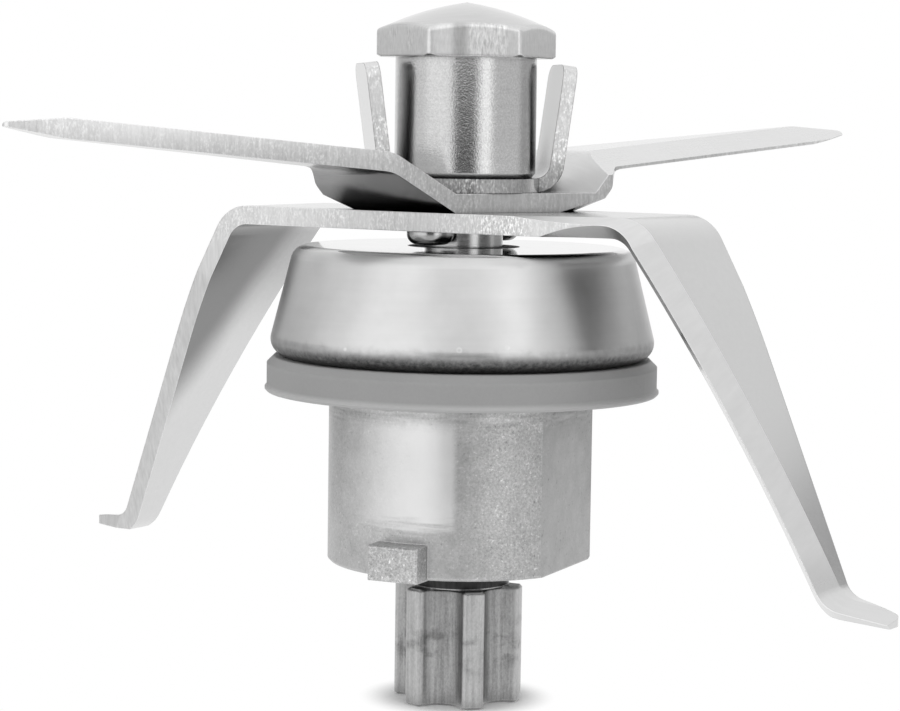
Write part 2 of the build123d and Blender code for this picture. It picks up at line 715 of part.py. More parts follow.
# Two sealed ball bearings
for name, base in (("upper", UPPER_RACE), ("lower", LOWER_RACE)):
    middle = base + RACE_H / 2
    with BuildPart() as inner_race:
        with BuildSketch(level(base)):
            Circle(INNER_RACE_R)
            Circle(BORE_R + PRESS, mode=Mode.SUBTRACT)
        extrude(amount=RACE_H)
        with BuildSketch(Plane.XZ):
            with Locations((PITCH_R, middle)):
                Circle(BALL_R + RUN)
        revolve(axis=Axis.Z, mode=Mode.SUBTRACT)
    inner_race.part.label = name + "_inner_race"
    export_step(inner_race.part, "parts/" + name + "_inner_race.step")

    with BuildPart() as outer_race:
        with BuildSketch(level(base)):
            Circle(RACE_R - PRESS)
            Circle(OUTER_RACE_R, mode=Mode.SUBTRACT)
        extrude(amount=RACE_H)
        with BuildSketch(Plane.XZ):
            with Locations((PITCH_R, middle)):
                Circle(BALL_R + RUN)
        revolve(axis=Axis.Z, mode=Mode.SUBTRACT)
    outer_race.part.label = name + "_outer_race"
    export_step(outer_race.part, "parts/" + name + "_outer_race.step")

    with BuildPart() as balls:
        with Locations(level(middle)):
            with PolarLocations(PITCH_R, BALLS):
                Sphere(BALL_R)
    balls.part.label = name + "_balls"
    export_step(balls.part, "parts/" + name + "_balls.step")

    with BuildPart() as cage:
        with BuildSketch(level(middle - CAGE_H / 2)):
            Circle(PITCH_R + CAGE_T / 2)
            Circle(PITCH_R - CAGE_T / 2, mode=Mode.SUBTRACT)
        extrude(amount=CAGE_H)
        for k in range(BALLS):
            pocket = heading(360 * k / BALLS)
            with BuildSketch(Plane(origin=(0, 0, middle), x_dir=(0, 0, 1), z_dir=pocket)):
                Circle(BALL_R + RUN)
            extrude(amount=PITCH_R + CAGE_T, mode=Mode.SUBTRACT)
    cage.part.label = name + "_cage"
    export_step(cage.part, "parts/" + name + "_cage.step")

    with BuildPart() as shields:
        for shield_z in (base + 0.1, base + RACE_H - 0.1 - SHIELD_T):
            with BuildSketch(level(shield_z)):
                Circle(OUTER_RACE_R - PRESS)
                Circle(INNER_RACE_R + EASE, mode=Mode.SUBTRACT)
            extrude(amount=SHIELD_T)
    shields.part.label = name + "_bearing_shields"
    export_step(shields.part, "parts/" + name + "_bearing_shields.step")

# Sleeve between the inner races
with BuildPart() as bearing_spacer:
    with BuildSketch(level(LOWER_RACE + RACE_H)):
        Circle(INNER_RACE_R - 0.35)
        Circle(BORE_R + RUN, mode=Mode.SUBTRACT)
    extrude(amount=UPPER_RACE - LOWER_RACE - RACE_H)
bearing_spacer.part.label = "bearing_spacer"
export_step(bearing_spacer.part, "parts/bearing_spacer.step")

# Retaining rings, each with a gap
with BuildPart() as shaft_circlip:
    with BuildSketch(level(clip_z)):
        Circle(INNER_RACE_R - 0.2)
        Circle(BORE_R - CLIP_IN + EASE / 2, mode=Mode.SUBTRACT)
        with Locations((INNER_RACE_R, 0)):
            Rectangle(INNER_RACE_R * 2, 4.0, mode=Mode.SUBTRACT)
    extrude(amount=CLIP_T)
shaft_circlip.part.label = "shaft_circlip"
export_step(shaft_circlip.part, "parts/shaft_circlip.step")

with BuildPart() as bore_circlip:
    with BuildSketch(level(LOWER_RACE - CLIP_T)):
        Circle(RACE_R + CLIP_OUT)
        Circle(OUTER_RACE_R + 0.4, mode=Mode.SUBTRACT)
        with Locations((0, RACE_R)):
            Rectangle(6.0, RACE_R, mode=Mode.SUBTRACT)
        with Locations((4.4, RACE_R - 2.3), (-4.4, RACE_R - 2.3)):
            Circle(1.5)
        with Locations((4.4, RACE_R - 2.3), (-4.4, RACE_R - 2.3)):
            Circle(0.7, mode=Mode.SUBTRACT)
    extrude(amount=CLIP_T)
bore_circlip.part.label = "bore_circlip"
export_step(bore_circlip.part, "parts/bore_circlip.step")

# Conical spring washer over the upper bearing
with BuildPart() as preload_washer:
    with BuildSketch(Plane.XZ):
        with BuildLine():
            Polyline(
                (RACE_R - 0.25, UPPER_RACE + RACE_H),
                (RACE_R - 0.25, UPPER_RACE + RACE_H + 0.45),
                (SHOULDER_R + 0.8, SHOULDER),
                (SHOULDER_R + 0.8, SHOULDER - 0.45),
                close=True,
            )
        make_face()
    revolve(axis=Axis.Z)
preload_washer.part.label = "preload_washer"
export_step(preload_washer.part, "parts/preload_washer.step")
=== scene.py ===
import math

import bmesh
import bpy
from mathutils import Matrix, Vector

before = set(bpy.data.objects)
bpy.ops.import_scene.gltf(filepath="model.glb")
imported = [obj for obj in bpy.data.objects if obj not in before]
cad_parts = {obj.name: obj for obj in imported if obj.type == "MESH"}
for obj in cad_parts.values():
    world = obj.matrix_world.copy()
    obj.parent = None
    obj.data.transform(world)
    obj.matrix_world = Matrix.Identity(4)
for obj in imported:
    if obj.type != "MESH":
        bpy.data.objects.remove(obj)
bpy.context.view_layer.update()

bl_info = {
    "name": "Blender Blade Assembly",
    "version": (1, 0, 0),
    "blender": (4, 5, 0),
    "location": "View3D > Sidebar > Blade Assembly",
    "description": "Stage and metal finishes for a jug blender's blade assembly",
    "category": "3D View",
}

GREY = {"subtype": "FACTOR", "min": 0.0, "max": 1.0}

# Headings of the sheet pieces, from the X axis
TAB_HEADING = math.radians(37.0)
UPPER_HEADING = math.radians(57.5)
LOWER_HEADING = math.radians(-8.1)
SQUARE = math.pi / 2

# Heights over the driver's foot between which finishes, painted light and painted shade fade in
DRIVER_NECK = (0.01530, 0.01515)
LUG_TOP = (0.0230, 0.0228)
PATCH_FOOT = (0.0232, 0.0262)
PATCH_TOP = (0.0388, 0.0362)
HOUSING_TOP = (0.0355, 0.0380)
SEAL_LIP = (0.0410, 0.0404)
SEAL_TOP = (0.0428, 0.0443)
DOME_RIM = (0.0468, 0.0455)
DOME_DARK_BAND = (0.0484, 0.0464)
DOME_TOP = (0.0580, 0.0584)
GROUND_FOOT = (0.019, 0.025)
LEG_SHADE = (0.044, 0.061)
LEG_EDGE = (0.0590, 0.0520)
TORN_HUB = (0.0575, 0.0600)
RISER_UNDER = (0.0735, 0.0635)
ARM_EDGE = (0.0745, 0.0690)
TAB_FOOT = (0.0705, 0.0675)
SKIRT_TOP = (0.0826, 0.0822)
CONE_FOOT = (0.0862, 0.0868)

# Distances from the axis between which finishes, painted light and painted shade fade in
FLOOR_SHADOW = (0.0075, 0.0130)
TOOTH_CROWN = (0.0075, 0.0082)
TOOTH_VALLEY = (0.0066, 0.0056)
LUG_FRONT = (0.0172, 0.0175)

# Angles about the axis between which the housing's painted highlight fades in
PATCH_LEFT = (-2.30, -1.90)
PATCH_RIGHT = (-1.155, -1.215)
PATCH_SHEEN = (-2.05, -1.40)

# Lowest and highest heights of bands with finishes and painted shade of their own
DRIVER_STAINS = (0.0052, 0.0102)
DOME_DROPS = (0.0448, 0.0480)
LEG_FACE = (0.0215, 0.0620)
HEXAGON = (0.0825, 0.0864)

# First and last angles of strips with finishes and painted reflections of their own
COARSE_SIDE = (-1.02, -0.45)
SCUFFED_FACET = (-1.12, -0.66)
BRIGHT_REFLECTION = (-1.50, -1.33)
DARK_REFLECTION = (-1.29, -1.15)

# Stretch of the lower blade's edge beside the notch, along its heading
TORN_NOTCH = (0.0098, 0.0170)

# Radii that light sees on edges that are broken wider than the sheet's
BROKEN_EDGE = 0.0003
SEAL_EDGE = 0.0004

# Cards: name, the setting that holds the level, bearing from the camera in degrees,
# distance, width and height, and height of the middle
CARDS = (
    ("front_card", "front_card", -1.5, 0.25, (0.17, 0.090), 0.045),
    ("right_card", "side_card", 75.0, 0.72, (1.00, 0.66), 0.16),
    ("left_card", "side_card", -124.0, 0.72, (0.70, 0.66), 0.16),
    ("low_right_card", "low_card", 124.0, 0.26, (0.24, 0.10), 0.05),
    ("low_left_card", "low_card", -112.0, 0.26, (0.24, 0.08), 0.04),
    ("low_white_card", "white_card", -38.0, 0.24, (0.22, 0.09), 0.03),
)
# Lamps: name, level, and the same places as the cards have
LAMPS = (
    ("left_lamp", 0.36, -46.0, 0.50, (0.40, 0.46), 0.20),
    ("right_lamp", 0.62, 34.0, 0.50, (0.17, 0.46), 0.20),
    ("front_lamp", 0.20, -6.0, 0.46, (0.60, 0.36), 0.46),
)
TOP_LAMP_LEVEL, TOP_LAMP_SIZE, TOP_LAMP_HEIGHT = 0.12, (0.8, 0.8), 0.75
AIM_HEIGHT = 0.05
FLOOR_RADIUS = 1.6


class StageSettings(bpy.types.PropertyGroup):
    """Camera, lamps and cards round the blade assembly"""

    camera_place: bpy.props.FloatVectorProperty(
        name="Camera Place", description="Where the camera stands",
        default=(0.13619, -0.29883, 0.0753), subtype="TRANSLATION", unit="LENGTH")
    camera_heading: bpy.props.FloatProperty(
        name="Camera Heading", description="Direction the camera looks in, from the X axis",
        default=math.radians(114.77), subtype="ANGLE", unit="ROTATION")
    camera_dip: bpy.props.FloatProperty(
        name="Camera Dip", description="How far the camera looks down",
        default=math.radians(5.372), subtype="ANGLE", unit="ROTATION")
    camera_roll: bpy.props.FloatProperty(
        name="Camera Roll", description="Turn of the camera about its own view",
        default=math.radians(0.819), subtype="ANGLE", unit="ROTATION")
    camera_lens: bpy.props.FloatProperty(
        name="Lens", description="Focal length on a 36 mm wide sensor in millimetres",
        default=102.8)
    floor_grey: bpy.props.FloatProperty(
        name="Floor Grey", description="Paleness of the floor", default=0.92, **GREY)
    fill_level: bpy.props.FloatProperty(
        name="Fill Level", description="Soft light from all round on matt surfaces", default=0.84)
    front_card: bpy.props.FloatProperty(
        name="Front Card", description="Grey of the low card in front of the object",
        default=0.14, **GREY)
    side_card: bpy.props.FloatProperty(
        name="Side Card", description="Grey of the cards beside the object", default=0.80, **GREY)
    low_card: bpy.props.FloatProperty(
        name="Low Card", description="Grey of the low cards that darken the housing's sides",
        default=0.50, **GREY)
    white_card: bpy.props.FloatProperty(
        name="White Card", description="Level of the low white card that lights the housing",
        default=1.2)


class FinishSettings(bpy.types.PropertyGroup):
    """Greys of the metals and the rubber, and the rounding that light sees on sharp edges"""

    blade_grey: bpy.props.FloatProperty(
        name="Blade Grey", description="Grey of the lower blade's and tab plate's rolled steel",
        default=0.67, **GREY)
    upper_grey: bpy.props.FloatProperty(
        name="Upper Blade Grey", description="Grey of the upper blade's rolled steel",
        default=0.73, **GREY)
    turned_grey: bpy.props.FloatProperty(
        name="Turned Steel Grey", description="Grey of the nut, shaft and rivets",
        default=0.52, **GREY)
    dome_grey: bpy.props.FloatProperty(
        name="Dome Grey", description="Grey of the spun dome", default=0.60, **GREY)
    housing_grey: bpy.props.FloatProperty(
        name="Housing Grey", description="Grey of the cast housing", default=0.46, **GREY)
    driver_grey: bpy.props.FloatProperty(
        name="Driver Grey", description="Grey of the toothed driver", default=0.34, **GREY)
    seal_grey: bpy.props.FloatProperty(
        name="Seal Grey", description="Grey of the silicone sealing ring", default=0.33, **GREY)
    bearing_grey: bpy.props.FloatProperty(
        name="Bearing Grey", description="Grey of the bearing steel", default=0.58, **GREY)
    rubber_grey: bpy.props.FloatProperty(
        name="Rubber Grey", description="Grey of the black rubber", default=0.03, **GREY)
    cut_grey: bpy.props.FloatProperty(
        name="Cut Edge Grey", description="Grey of the sheets' sheared edges", default=0.66, **GREY)
    edge_round: bpy.props.FloatProperty(
        name="Edge Rounding", description="Radius that light sees on sharp edges",
        default=0.00018, subtype="DISTANCE", unit="LENGTH")


class Value:
    """An output in a node tree, whose arithmetic adds Math nodes"""

    def __init__(self, nodes, socket):
        self.nodes = nodes
        self.socket = socket

    def math(self, operation, *others):
        values = dict(enumerate((self,) + others))
        return self.nodes.node("ShaderNodeMath", {"operation": operation}, values)

    def out(self, name):
        return Value(self.nodes, self.socket.node.outputs[name])

    def __add__(self, other):
        return self.math("ADD", other)

    __radd__ = __add__

    def __sub__(self, other):
        return self.math("SUBTRACT", other)

    def __rsub__(self, other):
        return self.math("MULTIPLY_ADD", -1.0, other)

    def __mul__(self, other):
        return self.math("MULTIPLY", other)

    __rmul__ = __mul__


class Nodes:
    """A node tree that is filled one node at a time"""

    def __init__(self, tree):
        self.tree = tree
        tree.nodes.clear()

    def node(self, kind, settings=None, inputs=None, out=0):
        made = self.tree.nodes.new(kind)
        for key, value in (settings or {}).items():
            setattr(made, key, value)
        for key, value in (inputs or {}).items():
            if isinstance(value, Value):
                self.tree.links.new(value.socket, made.inputs[key])
            else:
                made.inputs[key].default_value = value
        return Value(self, made.outputs[out])

    def output(self, kind, surface):
        made = self.tree.nodes.new(kind)
        self.tree.links.new(surface.socket, made.inputs["Surface"])


class Finish(Nodes):
    """A material that is worked out from a piece's own coordinates, in metres"""

    def __init__(self, name):
        self.material = bpy.data.materials.new(name)
        self.material.use_nodes = True
        super().__init__(self.material.node_tree)
        self.place = self.node("ShaderNodeTexCoord", out="Object")
        self.normal = self.place.out("Normal")
        self.x = self.node("ShaderNodeSeparateXYZ", inputs={"Vector": self.place})
        self.y = self.x.out("Y")
        self.z = self.x.out("Z")

    def turned(self, angle=0.0, scale=(1.0, 1.0, 1.0)):
        """Coordinates turned about the axis, then stretched"""
        spun = self.node("ShaderNodeMapping", {"vector_type": "POINT"},
                         {"Vector": self.place, "Rotation": (0.0, 0.0, -angle)})
        return self.node("ShaderNodeVectorMath", {"operation": "MULTIPLY"}, {0: spun, 1: scale})

    def radius(self):
        return (self.x * self.x + self.y * self.y).math("SQRT")

    def angle(self):
        return self.y.math("ARCTAN2", self.x)

    def run(self, heading):
        """Distance from the axis along a level heading"""
        return self.x * math.cos(heading) + self.y * math.sin(heading)

    def round_about(self, radial, around, along):
        """Coordinates that run out from, round and along the axis"""
        angle = self.angle()
        turn_x = angle.math("COSINE") * around
        turn_y = angle.math("SINE") * around
        return self.node("ShaderNodeCombineXYZ", inputs={
            "X": self.radius() * radial + turn_x, "Y": turn_y, "Z": self.z * along})

    def noise(self, vector, scale, detail=3.0, roughness=0.55):
        return self.node("ShaderNodeTexNoise", {"noise_dimensions": "3D"}, {
            "Vector": vector, "Scale": scale, "Detail": detail, "Roughness": roughness})

    def specks(self, vector, scale):
        """Distance to the nearest of a scatter of points"""
        return self.node("ShaderNodeTexVoronoi", {"feature": "F1"}, {
            "Vector": vector, "Scale": scale}, out="Distance")

    def step(self, value, low, high, start=0.0, end=1.0):
        return self.node("ShaderNodeMapRange", {"interpolation_type": "SMOOTHSTEP"}, {
            "Value": value, "From Min": low, "From Max": high, "To Min": start, "To Max": end})

    def band(self, value, low, high, soft):
        """One between two limits and nought outside them"""
        rise = self.step(value, low - soft, low + soft)
        return rise * self.step(value, high + soft, high - soft)

    def facing(self, heading):
        """How squarely the surface faces a level heading or its opposite"""
        level = (math.cos(heading), math.sin(heading), 0.0)
        return self.along(self.normal, level).math("ABSOLUTE")

    def along(self, first, second):
        return self.node("ShaderNodeVectorMath", {"operation": "DOT_PRODUCT"},
                         {0: first, 1: second}, out="Value")

    def mix(self, factor, first, second):
        """First where the factor is nought, second where it is one"""
        return first * (1 - factor) + second * factor

    def underside(self):
        """One on faces that look downwards"""
        down = self.node("ShaderNodeSeparateXYZ", inputs={"Vector": self.normal}, out="Z")
        return self.step(down, -0.2, -0.4)

    def edges(self, radius):
        """Normal that turns smoothly over sharp edges"""
        return self.node("ShaderNodeBevel", {"samples": 6}, {"Radius": radius})

    def edge_mask(self, rounded):
        """One near sharp edges and nought away from them"""
        flat = self.node("ShaderNodeNewGeometry", out="Normal")
        return self.step(self.along(rounded, flat), 0.999, 0.9)

    def crevice(self, reach):
        """One in the open and nought deep in a corner or under an overhang"""
        return self.node("ShaderNodeAmbientOcclusion", {"samples": 6},
                         {"Distance": reach}, out="AO")

    def bump(self, height, distance, strength, normal):
        return self.node("ShaderNodeBump", inputs={
            "Strength": strength, "Distance": distance, "Height": height, "Normal": normal})

    def close(self, base, roughness, normal, metallic=1.0):
        shader = self.node("ShaderNodeBsdfPrincipled", inputs={
            "Base Color": base, "Roughness": roughness, "Metallic": metallic, "Normal": normal})
        self.output("ShaderNodeOutputMaterial", shader)
        return self.material


def shade(material, *names):
    """Puts a material on CAD nodes"""
    for name in names:
        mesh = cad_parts[name].data
        mesh.materials.clear()
        mesh.materials.append(material)


def settings():
    return bpy.context.scene.blade_stage, bpy.context.scene.blade_finish


def mesh_object(name, build):
    """A new object in the scene from a mesh that build fills"""
    mesh = bpy.data.meshes.new(name)
    bm = bmesh.new()
    build(bm)
    bm.to_mesh(mesh)
    bm.free()
    made = bpy.data.objects.new(name, mesh)
    bpy.context.scene.collection.objects.link(made)
    return made


class BLADE_OT_stage(bpy.types.Operator):
    """Sets up the floor, the lamps, the cards and the camera"""

    bl_idname = "blade.stage"
    bl_label = "Stage"

    def execute(self, context):
        stage, _ = settings()
        context.scene.view_settings.view_transform = "Standard"
        self.world(context, stage)
        self.floor(stage)
        toward = Vector(stage.camera_place).to_2d()
        self.front = math.atan2(toward.y, toward.x)
        for name, setting, *place in CARDS:
            self.card(name, getattr(stage, setting), *place)
        for lamp in LAMPS:
            self.lamp(*lamp)
        self.area("top_lamp", TOP_LAMP_LEVEL, TOP_LAMP_SIZE,
                  Matrix.Translation((0.0, 0.0, TOP_LAMP_HEIGHT)))
        self.camera(context, stage)
        return {"FINISHED"}

    def world(self, context, stage):
        world = bpy.data.worlds.new("studio_white")
        context.scene.world = world
        world.use_nodes = True
        nodes = Nodes(world.node_tree)
        ray = nodes.node("ShaderNodeLightPath", out="Is Camera Ray")
        seen = ray.math("MAXIMUM", ray.out("Is Glossy Ray"))
        seen = seen.math("MAXIMUM", ray.out("Is Transmission Ray"))
        level = seen * (1.0 - stage.fill_level) + stage.fill_level
        nodes.output("ShaderNodeOutputWorld", nodes.node("ShaderNodeBackground", inputs={
            "Color": (1.0, 1.0, 1.0, 1.0), "Strength": level}))

    def floor(self, stage):
        """Paper that takes the shadow round the driver's foot, white elsewhere, clear from below"""
        floor = mesh_object("floor", lambda bm: bmesh.ops.create_circle(
            bm, cap_ends=True, segments=96, radius=FLOOR_RADIUS))
        finish = Finish("floor_paper")
        ray = finish.node("ShaderNodeLightPath", out="Is Camera Ray")
        seen = ray * finish.step(finish.radius(), *FLOOR_SHADOW)
        seen = seen.math("MAXIMUM", ray.out("Is Glossy Ray"))
        seen = seen.math("MAXIMUM", ray.out("Is Transmission Ray"))
        grain = finish.noise(finish.place, 900.0) * 0.02 + (stage.floor_grey - 0.01)
        paper = finish.node("ShaderNodeBsdfDiffuse", inputs={"Color": grain})
        white = finish.node("ShaderNodeEmission", inputs={"Color": (1.0, 1.0, 1.0, 1.0)})
        surface = finish.node("ShaderNodeMixShader", inputs={0: seen, 1: paper, 2: white})
        below = finish.node("ShaderNodeNewGeometry", out="Backfacing")
        clear = finish.node("ShaderNodeBsdfTransparent")
        surface = finish.node("ShaderNodeMixShader", inputs={0: below, 1: surface, 2: clear})
        finish.output("ShaderNodeOutputMaterial", surface)
        floor.data.materials.append(finish.material)

    def around(self, bearing, distance, height):
        angle = self.front + math.radians(bearing)
        return Vector((distance * math.cos(angle), distance * math.sin(angle), height))

    def facing(self, place):
        aim = Vector((0.0, 0.0, AIM_HEIGHT)) - place
        return aim.to_track_quat("-Z", "Y").to_matrix().to_4x4()

    def card(self, name, grey, bearing, distance, size, height):
        place = self.around(bearing, distance, height)
        matrix = (Matrix.Translation(place) @ self.facing(place)
                  @ Matrix.Diagonal((size[0], size[1], 1.0, 1.0)))
        made = mesh_object(name, lambda bm: bmesh.ops.create_grid(
            bm, x_segments=1, y_segments=1, size=0.5, matrix=matrix))
        finish = Finish(name)
        finish.output("ShaderNodeOutputMaterial", finish.node("ShaderNodeEmission", inputs={
            "Color": (grey, grey, grey, 1.0)}))
        made.data.materials.append(finish.material)
        made.visible_camera = False
        made.visible_diffuse = False
        made.visible_shadow = False

    def lamp(self, name, level, bearing, distance, size, height):
        place = self.around(bearing, distance, height)
        self.area(name, level, size, Matrix.Translation(place) @ self.facing(place))

    def area(self, name, level, size, matrix):
        light = bpy.data.lights.new(name, "AREA")
        light.shape = "RECTANGLE"
        light.size, light.size_y = size
        light.energy = level * math.pi * size[0] * size[1]
        made = bpy.data.objects.new(name, light)
        made.matrix_world = matrix
        made.visible_camera = False
        bpy.context.scene.collection.objects.link(made)

    def camera(self, context, stage):
        heading, dip = stage.camera_heading, stage.camera_dip
        ahead = Vector((math.cos(heading) * math.cos(dip),
                        math.sin(heading) * math.cos(dip), -math.sin(dip)))
        right = ahead.cross(Vector((0.0, 0.0, 1.0))).normalized()
        up = right.cross(ahead)
        basis = Matrix((right, up, -ahead)).transposed().to_4x4()
        data = bpy.data.cameras.new("camera")
        data.sensor_fit = "HORIZONTAL"
        data.sensor_width = 36.0
        data.lens = stage.camera_lens
        data.clip_start = 0.01
        made = bpy.data.objects.new("camera", data)
        made.matrix_world = (Matrix.Translation(stage.camera_place) @ basis
                             @ Matrix.Rotation(stage.camera_roll, 4, "Z"))
        context.scene.collection.objects.link(made)
        context.scene.camera = made


def rolled_steel(name, grey, heading, arris, torn, painted_cut_shading, painted_shade):
    """Rolled sheet with long fine scratches, ground bevels and sheared edges along both sides, with
    painted shade in crevices and painted light and shade passed in for faces and cut edges
    """
    _, greys = settings()
    f = Finish(name)
    tilt = f.facing(heading + SQUARE)
    sheared = f.step(tilt, 0.6, 0.8)
    ground = f.step(tilt, 0.06, 0.10) * (1 - f.step(tilt, 0.3, 0.42))
    ground = ground * f.step(f.z, *GROUND_FOOT) * (1 - f.underside())
    scratch = f.noise(f.turned(heading, (50.0, 1500.0, 1500.0)), 1.0, 2.0)
    cloud = f.noise(f.place, 45.0, 2.0)
    grind = f.noise(f.turned(heading, (1800.0, 160.0, 160.0)), 1.0, 2.0)
    streak = f.noise(f.turned(heading, (2600.0, 2600.0, 300.0)), 1.0, 2.0)
    grit = f.noise(f.turned(heading, (4200.0, 4200.0, 2000.0)), 1.0, 2.0, 0.7)
    patch = f.step(f.noise(f.place, 110.0, 2.0), 0.38, 0.62, 0.3, 1.0)
    rough_cut = patch * torn(f)
    speck = f.step(grit, 0.50, 0.68) * rough_cut
    rounded = f.edges(greys.edge_round)
    wear_and_glint = f.edge_mask(rounded)
    # painted shade: darker in crevices
    shade = f.step(f.crevice(0.0022), 0.15, 0.75, 0.35, 1.0)
    face = scratch * 0.05 + cloud * 0.06 + (grey - 0.055)
    cut = speck * 0.26 + (grit - 0.5) * rough_cut * 0.8 + (streak - 0.5) * 0.30
    # painted light and shade on the cut edges, from the mask that each blade passes in
    cut = cut + (cloud - 0.5) * 0.10 + greys.cut_grey - painted_cut_shading(f)
    # painted shade: the faces are darkened by the shade mask that each blade passes in
    face = f.mix(ground, face * (1 - painted_shade(f)), grind * 0.10 + 0.69)
    # edges paler from wear and a painted glint where arris is above nought, painted shade along
    # them where it is below
    base = (f.mix(sheared, face, cut) + wear_and_glint * arris) * shade
    satin = scratch * 0.06 + cloud * 0.06 + 0.14 + ground * 0.26
    rough = f.mix(sheared, satin, streak * 0.2 + 0.36)
    height = f.mix(sheared, scratch * 0.2 + ground * grind * 0.3, (streak + speck) * 0.9)
    return f.close(base, rough, f.bump(height, 0.00004, 0.28, rounded))


class BLADE_OT_cap_nut(bpy.types.Operator):
    """Finishes the cap nut in turned steel, with a fine grain on the skirt, scuffed facets and
    painted reflections on the hexagon
    """

    bl_idname = "blade.cap_nut"
    bl_label = "Cap Nut"

    def execute(self, context):
        _, greys = settings()
        f = Finish("cap_nut_steel")
        rings = f.noise(f.round_about(1800.0, 3.0, 1800.0), 1.0, 2.0)
        drawn = f.noise(f.turned(0.0, (3600.0, 3600.0, 900.0)), 1.0, 2.0, 0.7)
        grain = f.noise(f.place, 4200.0, 2.0, 0.75)
        hexagon = f.band(f.z, *HEXAGON, 0.0003)
        skirt = f.step(f.z, *SKIRT_TOP)
        rounded = f.edges(BROKEN_EDGE)
        wear_and_glint = f.edge_mask(rounded)
        shadow = f.step(f.crevice(0.0016), 0.15, 0.75, 0.3, 1.0)
        angle = f.angle()
        rough_facet = f.band(angle, *SCUFFED_FACET, 0.03)
        blotches = f.step(f.noise(f.place, 110.0, 2.0), 0.54, 0.62)
        scuffed = rough_facet.math("MAXIMUM", blotches) * 0.75 + 0.25
        # painted reflection: a bright strip and a dark strip on the hexagon's facets
        painted_reflection = f.band(angle, *BRIGHT_REFLECTION, 0.04) * 0.10 - f.band(angle, *DARK_REFLECTION, 0.05) * 0.17
        cone = f.step(f.z, *CONE_FOOT)
        tone = (rings - 0.5) * 0.08 + (drawn - 0.5) * hexagon * scuffed * 0.95
        tone = tone + (grain - 0.5) * skirt * 0.30
        tone = tone + hexagon * (painted_reflection + rough_facet * 0.08) + cone * 0.08
        # edges paler from wear and a painted glint
        base = (tone + hexagon * 0.13 + wear_and_glint * 0.14 + greys.turned_grey) * shadow
        rough = rings * 0.06 + 0.11 + hexagon * 0.20
        height = rings * 0.15 + hexagon * scuffed * drawn * 0.9 + skirt * grain * 1.5
        f.close(base, rough, f.bump(height, 0.00004, 0.35, rounded))
        shade(f.material, "cap_nut")
        return {"FINISHED"}


class BLADE_OT_tab_plate(bpy.types.Operator):
    """Finishes the folded tab plate in rolled steel with rough sheared edges"""

    bl_idname = "blade.tab_plate"
    bl_label = "Tab Plate"

    def execute(self, context):
        _, greys = settings()
        # painted shade along the sheared edges, from the negative arris
        steel = rolled_steel("tab_plate_steel", greys.blade_grey, TAB_HEADING, -0.30,
                             self.torn, self.painted_cut_shading, self.painted_shade)
        shade(steel, "tab_plate")
        return {"FINISHED"}

    def torn(self, f):
        """Rough all along its edges"""
        return 1.0

    def painted_cut_shading(self, f):
        """Painted shade on the edge along the foot of the plate, under the nut"""
        return f.step(f.z, *TAB_FOOT) * 0.30

    def painted_shade(self, f):
        """Shade in the folds beside the nut"""
        return f.step(f.crevice(0.010), 0.5, 0.1, 0.0, 0.3)


class BLADE_OT_upper_blade(bpy.types.Operator):
    """Finishes the upper blade in rolled steel with sheared edges"""

    bl_idname = "blade.upper_blade"
    bl_label = "Upper Blade"

    def execute(self, context):
        _, greys = settings()
        steel = rolled_steel("upper_blade_steel", greys.upper_grey, UPPER_HEADING, 0.18,
                             self.torn, self.painted_cut_shading, self.painted_shade)
        shade(steel, "upper_blade")
        return {"FINISHED"}

    def torn(self, f):
        """Slightly rough along its edges"""
        return 0.4

    def painted_cut_shading(self, f):
        """Painted shade on the edge round the hub and its two rising parts, painted light out along
        the arms
        """
        return f.step(f.z, *ARM_EDGE, -0.14, 0.17)

    def painted_shade(self, f):
        """Shade of the narrow gap under the rising parts of the blade"""
        near = f.step(f.crevice(0.016), 0.75, 0.1, 0.0, 0.6)
        return near.math("MAXIMUM", f.underside() * f.step(f.z, *RISER_UNDER, 0.1, 0.6))


class BLADE_OT_lower_blade(bpy.types.Operator):
    """Finishes the lower blade in rolled steel with sheared edges, torn rough beside the notch"""

    bl_idname = "blade.lower_blade"
    bl_label = "Lower Blade"

    def execute(self, context):
        _, greys = settings()
        steel = rolled_steel("lower_blade_steel", greys.blade_grey, LOWER_HEADING, 0.18,
                             self.torn, self.painted_cut_shading, self.painted_shade)
        shade(steel, "lower_blade")
        return {"FINISHED"}

    def painted_cut_shading(self, f):
        """Painted shade on the edge down the legs"""
        return f.step(f.z, *LEG_EDGE) * 0.06

    def torn(self, f):
        """Rough round the hub, and roughest beside the notch"""
        beside = f.band(f.run(LOWER_HEADING), *TORN_NOTCH, 0.0008)
        return f.step(f.z, *TORN_HUB) * 0.45 + beside * 0.8

    def painted_shade(self, f):
        """Painted shade on the legs, deepest inside near the hub and towards one edge, in crevices,
        and a faint darker band along the outer faces
        """
        run = f.run(LOWER_HEADING)
        across = f.run(LOWER_HEADING + SQUARE) * run.math("SIGN") * -1.0
        wavy = (f.noise(f.place, 60.0, 2.0) - 0.5) * 0.008
        # painted shade on the inner faces, deepest near the hub and towards one edge
        inner = f.underside() * f.step(f.z - across * 2.0 + wavy, *LEG_SHADE)
        inner = inner * f.step(run, 0.005, -0.005, 0.25, 0.64)
        near = f.step(f.crevice(0.016), 0.75, 0.1, 0.0, 0.6)
        # painted shade: a faint darker band along the outer faces
        outer = (1 - f.underside()) * f.band(f.z, *LEG_FACE, 0.0025) * 0.14
        return near.math("MAXIMUM", inner).math("MAXIMUM", outer)


